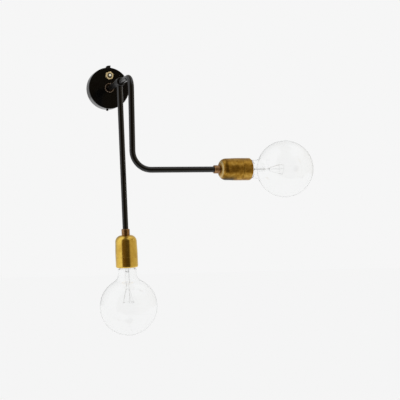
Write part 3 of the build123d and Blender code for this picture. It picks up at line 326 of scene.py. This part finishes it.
def aged_brass():
    """Brass with a mottled brown patina, with a painted highlight round the shoulder and painted
    shade under it.
    """
    look = Look("aged_brass", Metallic=1.0)
    origin, axis = LAMPS["b"]
    rings = turned_lines(look, "b")
    cloud = look.noise(scale=150.0, detail=8.0)
    blotch = look.noise(scale=420.0, detail=5.0)
    brown, tan, gold = (0.27, 0.13, 0.014), (0.43, 0.23, 0.032), (0.60, 0.36, 0.075)
    base = look.ramp(cloud, [(0.30, brown), (0.52, tan), (0.72, gold)])
    spots = look.ramp(blotch, [(0.50, 0.0), (0.70, 0.5)])
    base = look.mix(spots, base, (0.20, 0.10, 0.014))
    past_cap = look.math("SUBTRACT", look.along(axis), origin.dot(axis) + CAP_TOP)
    zone = look.math("MULTIPLY", past_cap, 1.0 / HIGHLIGHT_AND_SHADE_LENGTH)
    # A bright ring round the shoulder: a painted highlight.
    painted_highlight = look.ramp(zone, [(0.012, 0.0), (0.030, 0.7), (0.055, 0.7), (0.078, 0.0)])
    base = look.mix(painted_highlight, base, (0.70, 0.56, 0.28))
    # A dark patch under the shoulder, on the underside: painted shade.
    below = look.rise(
        look.along(DOWN), PAINTED_SHADE_START - origin.z, PAINTED_SHADE_FULL - origin.z
    )
    painted_shade = look.ramp(zone, [(0.07, 0.0), (0.13, 0.95), (0.52, 0.95), (0.72, 0.0)])
    look.colour(look.mix(look.product(painted_shade, below), base, (0.035, 0.022, 0.006)))
    uneven = look.math("ADD", look.product(cloud, 0.6), look.product(rings, 0.4))
    look.roughness(uneven, low=0.26, high=0.46)
    look.bump(look.mix(0.5, rings, blotch), depth=0.00003, edge=0.0003)
    return look.material


def bronze_brass():
    """Dark brown brass."""
    look = Look("bronze_brass", Metallic=1.0)
    cloud = look.noise(scale=260.0, detail=6.0)
    look.colour(look.ramp(cloud, [(0.3, (0.20, 0.105, 0.045)), (0.7, (0.42, 0.24, 0.11))]))
    look.roughness(cloud, low=0.20, high=0.32)
    look.bump(look.noise(scale=1800.0), depth=0.00002, edge=0.0003)
    return look.material


def pale_brass():
    """Pale satin brass of the switch's nut and of its button, whose tip is painted nearly white
    and less metallic as a painted highlight.
    """
    look = Look("pale_brass")
    cloud = look.noise(scale=500.0)
    base = look.ramp(cloud, [(0.3, (0.84, 0.64, 0.31)), (0.7, (0.95, 0.79, 0.46))])
    from_tip = look.product(look.measure("DISTANCE", look.place, BUTTON_TIP), 1.0 / CENTIMETRE)
    # The button's tip painted near white and less metallic: a painted highlight.
    painted_highlight = look.ramp(from_tip, [(0.20, 1.0), (0.36, 0.0)])
    look.colour(look.mix(painted_highlight, base, (0.92, 0.90, 0.76)))
    look.metal(painted_highlight, low=0.5, high=0.1)
    look.roughness(cloud, low=0.38, high=0.50)
    look.bump(look.noise(scale=3000.0), depth=0.00001, edge=0.0003)
    return look.material


def dark_bronze():
    """Nearly black bronze of the bush at the middle of the wall plate, its edge brighter: partly
    worn brass and partly a painted highlight.
    """
    look = Look("dark_bronze", Metallic=1.0)
    cloud = look.noise(scale=420.0, detail=5.0)
    base = look.ramp(cloud, [(0.3, (0.030, 0.020, 0.015)), (0.7, (0.060, 0.042, 0.032))])
    # The brighter edge is partly worn brass and partly a painted highlight.
    worn_edge_and_highlight = look.ramp(look.from_pivot(), [(0.74, 0.0), (0.82, 1.0)])
    look.colour(look.mix(worn_edge_and_highlight, base, (0.50, 0.39, 0.30)))
    look.roughness(cloud, low=0.30, high=0.42)
    look.bump(look.noise(scale=2200.0), depth=0.00001, edge=0.0002)
    return look.material


def inner_brass():
    """Plain brass of the pieces inside."""
    look = Look("inner_brass", Metallic=1.0)
    cloud = look.noise(scale=320.0, detail=5.0)
    look.colour(look.ramp(cloud, [(0.3, (0.50, 0.33, 0.10)), (0.75, (0.72, 0.52, 0.20))]))
    look.roughness(cloud, low=0.22, high=0.36)
    look.bump(look.noise(scale=2000.0), depth=0.00002, edge=0.0002)
    return look.material


def moulded(name, low, high, roughness, grain=1500.0):
    """Moulded plastic, rubber or glass with a fine grain."""
    look = Look(name)
    look.colour(look.mix(look.noise(scale=120.0), low, high))
    look.roughness(look.noise(scale=400.0), low=roughness, high=roughness + 0.12)
    look.bump(look.noise(scale=grain, detail=3.0), depth=0.00004, edge=0.0003)
    return look.material


def porcelain():
    """White glazed porcelain with a faint mottle and a few iron specks."""
    look = Look("porcelain", Coat_Weight=0.6, Coat_Roughness=0.08)
    mottle = look.noise(scale=90.0, detail=3.0)
    base = look.mix(mottle, (0.80, 0.78, 0.73), (0.88, 0.87, 0.84))
    specks = look.ramp(look.noise(scale=1600.0, detail=1.0), [(0.76, 0.0), (0.82, 0.7)])
    look.colour(look.mix(specks, base, (0.35, 0.28, 0.20)))
    look.roughness(look.noise(scale=200.0), low=0.12, high=0.24)
    look.bump(look.noise(scale=500.0, detail=2.0), depth=0.00002, edge=0.0004)
    return look.material


def clear_glass():
    """Clear glass, blown a little uneven."""
    look = Look("clear_glass", Transmission_Weight=1.0, IOR=1.46)
    tint = look.noise(scale=60.0, detail=2.0)
    look.colour(look.mix(tint, (0.985, 0.990, 0.988), (1.0, 1.0, 1.0)))
    look.roughness(look.noise(scale=90.0, detail=2.0), low=0.0, high=0.012)
    return look.material


def solder():
    """A dull grey blob of solder."""
    look = Look("solder", Metallic=1.0)
    cloud = look.noise(scale=900.0)
    look.colour(look.ramp(cloud, [(0.3, (0.36, 0.36, 0.37)), (0.7, (0.62, 0.62, 0.62))]))
    look.roughness(cloud, low=0.3, high=0.5)
    look.bump(cloud, depth=0.00008, edge=0.0004)
    return look.material


def round_ring(lamp, angle):
    """The way out from a bulb's axis at an angle round its filament."""
    axis = LAMPS[lamp][1]
    return OUT_FROM_WALL * math.cos(angle) + axis.cross(OUT_FROM_WALL) * math.sin(angle)


def bulb_wire():
    """Bright nickel lead wires, and pale support wires that spread from the glass stem's tip."""
    look = Look("bulb_wire")
    supports = []
    for lamp, (origin, axis) in LAMPS.items():
        lead_side = round_ring(lamp, FILAMENT_TURNS[lamp])
        tip = origin.dot(axis) + MOUTH + SUPPORT_START
        beyond = look.math("GREATER_THAN", look.along(axis), tip)
        edge = origin.dot(lead_side) + SUPPORT_ASIDE
        aside = look.math("LESS_THAN", look.along(lead_side), edge)
        supports.append(look.product(beyond, aside))
    support = look.math("MAXIMUM", *supports)
    lead = look.mix(grain_lines(look), (0.72, 0.71, 0.69), (0.88, 0.87, 0.85))
    look.colour(look.mix(support, lead, (0.93, 0.93, 0.92)))
    look.metal(support, low=1.0, high=0.15)
    look.roughness(look.noise(scale=180.0), low=0.22, high=0.36)
    return look.material


SLOT_LOOKS = {
    "black_metal": black_metal(),
    "dark_screw": dark_screw(),
    "bracket_steel": steel("bracket_steel", (0.42, 0.42, 0.43), (0.58, 0.58, 0.59), 0.26),
    "screw_steel": steel("screw_steel", (0.22, 0.22, 0.23), (0.40, 0.40, 0.41), 0.26),
    "spring_steel": steel("spring_steel", (0.45, 0.45, 0.46), (0.62, 0.62, 0.63), 0.18),
    "polished_brass": polished_brass(),
    "aged_brass": aged_brass(),
    "bronze_brass": bronze_brass(),
    "pale_brass": pale_brass(),
    "dark_bronze": dark_bronze(),
    "inner_brass": inner_brass(),
    "switch_plastic": moulded(
        "switch_plastic", (0.008, 0.008, 0.008), (0.018, 0.017, 0.016), 0.42
    ),
    "block_plastic": moulded("block_plastic", (0.70, 0.69, 0.64), (0.80, 0.79, 0.75), 0.40),
    "grommet_rubber": moulded(
        "grommet_rubber", (0.010, 0.010, 0.010), (0.022, 0.021, 0.020), 0.60
    ),
    "flex_sleeve": moulded("flex_sleeve", (0.020, 0.020, 0.020), (0.045, 0.043, 0.041), 0.48),
    "wire_sleeve": moulded("wire_sleeve", (0.20, 0.07, 0.025), (0.28, 0.11, 0.045), 0.44),
    "porcelain": porcelain(),
    "clear_glass": clear_glass(),
    "bulb_cap_metal": steel("bulb_cap_metal", (0.55, 0.54, 0.51), (0.74, 0.73, 0.70), 0.22),
    "black_glass": moulded(
        "black_glass", (0.004, 0.004, 0.004), (0.012, 0.011, 0.010), 0.10, grain=300.0
    ),
    "solder": solder(),
    "bulb_wire": bulb_wire(),
    "filament_wire": steel("filament_wire", (0.42, 0.41, 0.40), (0.60, 0.59, 0.58), 0.30),
}
for entry in frame["record"]["subparts"]:
    node = frame["nodes"][entry["node"]]
    node.data.materials.clear()
    node.data.materials.append(SLOT_LOOKS[entry["material_slot"]])


def stand_for(piece, node, body):
    """Puts a piece in the place of a CAD node, on the node's body."""
    scene.collection.objects.link(piece)
    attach(piece, body)
    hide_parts(node)


def coil_filament(lamp):
    """A coiled wire round the open ring that the bulb's solid filament marks."""
    origin, axis = LAMPS[lamp]
    centre = origin + axis * (MOUTH + FILAMENT_HEIGHT)
    curve = bpy.data.curves.new(f"bulb_{lamp}_coil", "CURVE")
    curve.dimensions = "3D"
    curve.bevel_depth = COIL_WIRE
    curve.bevel_resolution = 2
    steps = COIL_TURNS * COIL_STEPS
    spline = curve.splines.new("POLY")
    spline.points.add(steps)
    start = FILAMENT_TURNS[lamp] + FILAMENT_OPENING / 2
    sweep = 2 * math.pi - FILAMENT_OPENING
    for step, point in enumerate(spline.points):
        outward = round_ring(lamp, start + sweep * step / steps)
        wind = 2 * math.pi * COIL_TURNS * step / steps
        reach = outward * (FILAMENT_RING + COIL_RADIUS * math.cos(wind))
        point.co = (*(centre + reach + axis * COIL_RADIUS * math.sin(wind)), 1.0)
    curve.materials.append(SLOT_LOOKS["filament_wire"])
    coil = bpy.data.objects.new(f"bulb_{lamp}_coil", curve)
    stand_for(coil, f"bulb_{lamp}_filament", f"bulb_{lamp}")


def return_spring():
    """The switch's spring, copied with a mesh of its own and put on the wall plate in place of
    its CAD node.
    """
    mesh = frame["nodes"]["switch_spring"].data.copy()
    spring = bpy.data.objects.new("switch_return_spring", mesh)
    stand_for(spring, "switch_spring", "wall_plate")
    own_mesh(spring)


for lamp in LAMPS:
    coil_filament(lamp)
return_spring()


def studio():
    """A pale room, which reflections show as dark on the side that the lamp is seen from."""
    world = bpy.data.worlds.new("studio")
    world.use_nodes = True
    scene.world = world
    room = Nodes(world.node_tree)
    direction = room.add("ShaderNodeTexCoord").outputs["Generated"]
    axes = room.add("ShaderNodeSeparateXYZ", Vector=direction)
    outward = room.product(axes.outputs["Y"], -1.0)
    bearing = room.math("ARCTAN2", axes.outputs["X"], outward)
    share = room.math("ADD", room.product(bearing, 0.5 / math.pi), 0.5)
    walls, ceiling = [
        room.ramp(share, [((angle + 180) / 360, level) for angle, level in levels])
        for levels in (WALL_LEVELS, CEILING_LEVELS)
    ]
    above, overhead = [
        room.rise(axes.outputs["Z"], *limits, interpolation_type="SMOOTHSTEP")
        for limits in (CEILING_RISE, ZENITH_RISE)
    ]
    reflection = room.mix(overhead, room.mix(above, walls, ceiling), ZENITH)
    seen, through, reflected = room.rays()
    light = room.mix(reflected, (FILL,) * 3, reflection)
    light = room.mix(through, light, (PALE,) * 3)
    light = room.mix(seen, light, (PALE,) * 3)
    room.feed(world.node_tree.nodes["Background"].inputs["Color"], light)


def floor():
    """A pale floor well below the lamp, which still takes its soft shadow."""
    corners = [
        (-FLOOR_REACH, FLOOR_FRONT, FLOOR_LEVEL), (FLOOR_REACH, FLOOR_FRONT, FLOOR_LEVEL),
        (FLOOR_REACH, FLOOR_REACH, FLOOR_LEVEL), (-FLOOR_REACH, FLOOR_REACH, FLOOR_LEVEL),
    ]
    mesh = bpy.data.meshes.new("floor")
    mesh.from_pydata(corners, [], [(0, 1, 2, 3)])
    ground = bpy.data.objects.new("floor", mesh)
    scene.collection.objects.link(ground)
    look = Look("floor", Roughness=0.9, Specular_IOR_Level=0.0)
    look.colour(look.mix(look.noise(scale=3.0), (0.150,) * 3, (0.152,) * 3))
    seen, through, reflected = look.rays()
    shares = look.math("MAXIMUM", look.math("MAXIMUM", seen, through), reflected)
    look.shader.inputs["Emission Color"].default_value = (1.0, 1.0, 1.0, 1.0)
    look.feed(look.shader.inputs["Emission Strength"], look.product(shares, FLOOR_GLOW))
    mesh.materials.append(look.material)


def key_light():
    """One broad soft light from the upper left, in front."""
    light = bpy.data.lights.new("key", "SUN")
    light.energy = KEY_STRENGTH
    light.angle = KEY_SPREAD
    lamp = bpy.data.objects.new("key", light)
    lamp.rotation_euler = KEY_DIRECTION.to_track_quat("-Z", "Y").to_euler()
    lamp.visible_glossy = False
    lamp.visible_transmission = False
    scene.collection.objects.link(lamp)


def camera():
    """The place, aim and lens that the picture was taken with."""
    data = bpy.data.cameras.new("camera")
    data.lens = CAMERA_LENS
    data.sensor_width = CAMERA_SENSOR
    eye = bpy.data.objects.new("camera", data)
    eye.location = CAMERA_PLACE
    level = math.cos(CAMERA_PITCH)
    forward = Vector((
        level * math.sin(CAMERA_YAW), level * math.cos(CAMERA_YAW), math.sin(CAMERA_PITCH)
    ))
    eye.rotation_euler = forward.to_track_quat("-Z", "Y").to_euler()
    scene.collection.objects.link(eye)
    scene.camera = eye


studio()
floor()
key_light()
camera()
